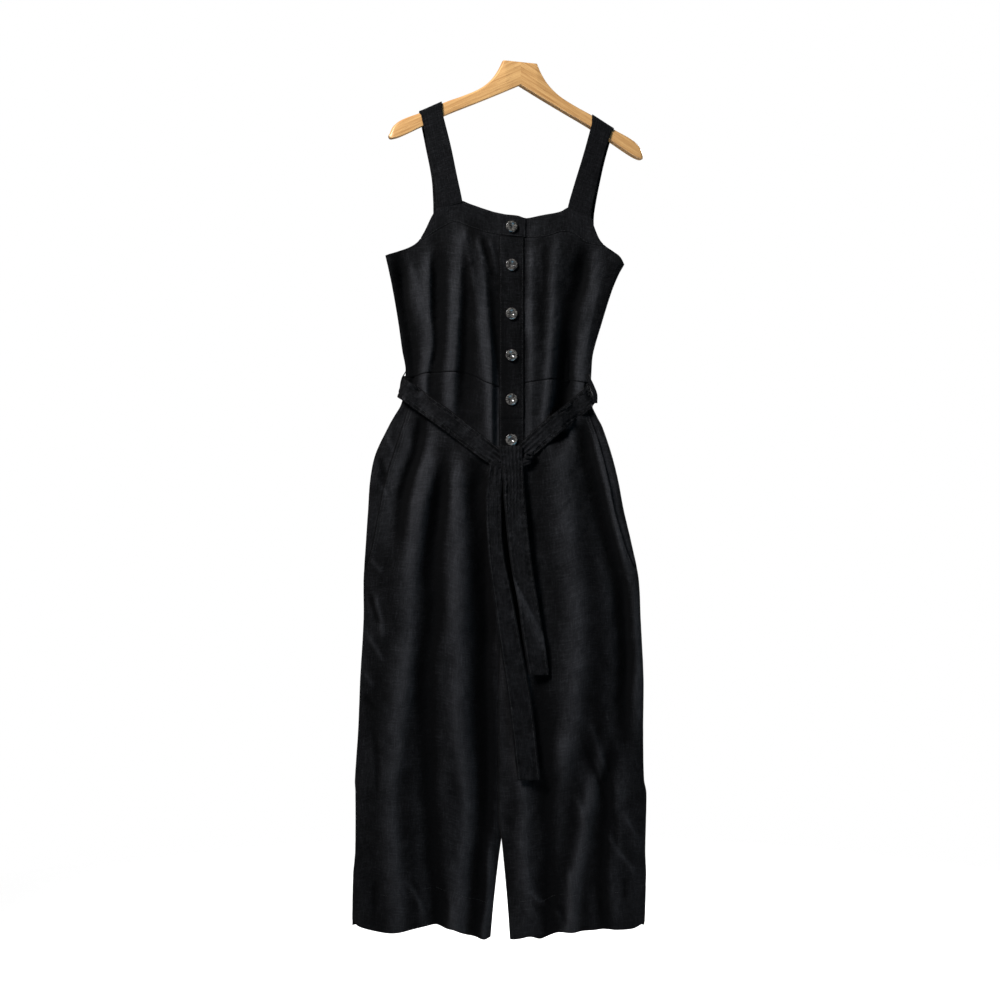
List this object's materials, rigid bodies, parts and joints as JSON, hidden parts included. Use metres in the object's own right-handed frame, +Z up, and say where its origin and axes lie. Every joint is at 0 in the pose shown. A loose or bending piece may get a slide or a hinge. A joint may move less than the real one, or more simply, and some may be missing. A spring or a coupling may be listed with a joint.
{
  "type": "jumpsuit on a hanger",
  "caption": "Sleeveless wide-leg linen jumpsuit with wide straps, button placket and tied belt, hanging from a plain wooden hanger.",
  "frame": {"origin": "middle of the hanger's flat neck top, at the mouth of the hook's socket", "axes": "+Z up along the hook's shank, -Y towards the viewer of the garment's front, +X towards the viewer's right"},
  "size_m": [0.4859, 0.162, 1.446],
  "materials": {
    "linen": "washed black linen, plain weave, dull",
    "wood": "light wood, clear satin lacquer",
    "button": "dark glossy resin",
    "thread": "black sewing thread"
  },
  "bodies": {
    "root": {"hanger": "wood", "strap_left": "linen", "strap_right": "linen", "yoke_left": "linen", "yoke_right": "linen", "yoke_back": "linen", "bodice_front_left": "linen", "bodice_front_right": "linen", "bodice_back": "linen", "trouser_front_left": "linen", "trouser_front_right": "linen", "trouser_back_left": "linen", "trouser_back_right": "linen", "pocket_side_left": "linen", "pocket_side_right": "linen", "placket": "linen", "belt_band": "linen", "belt_knot": "linen", "belt_tail_long": "linen", "belt_tail_short": "linen", "belt_loop_left": "linen", "belt_loop_right": "linen", "button_1": "button", "button_2": "button", "button_3": "button", "button_4": "button", "button_5": "button", "button_6": "button"}
  },
  "joints": []
}
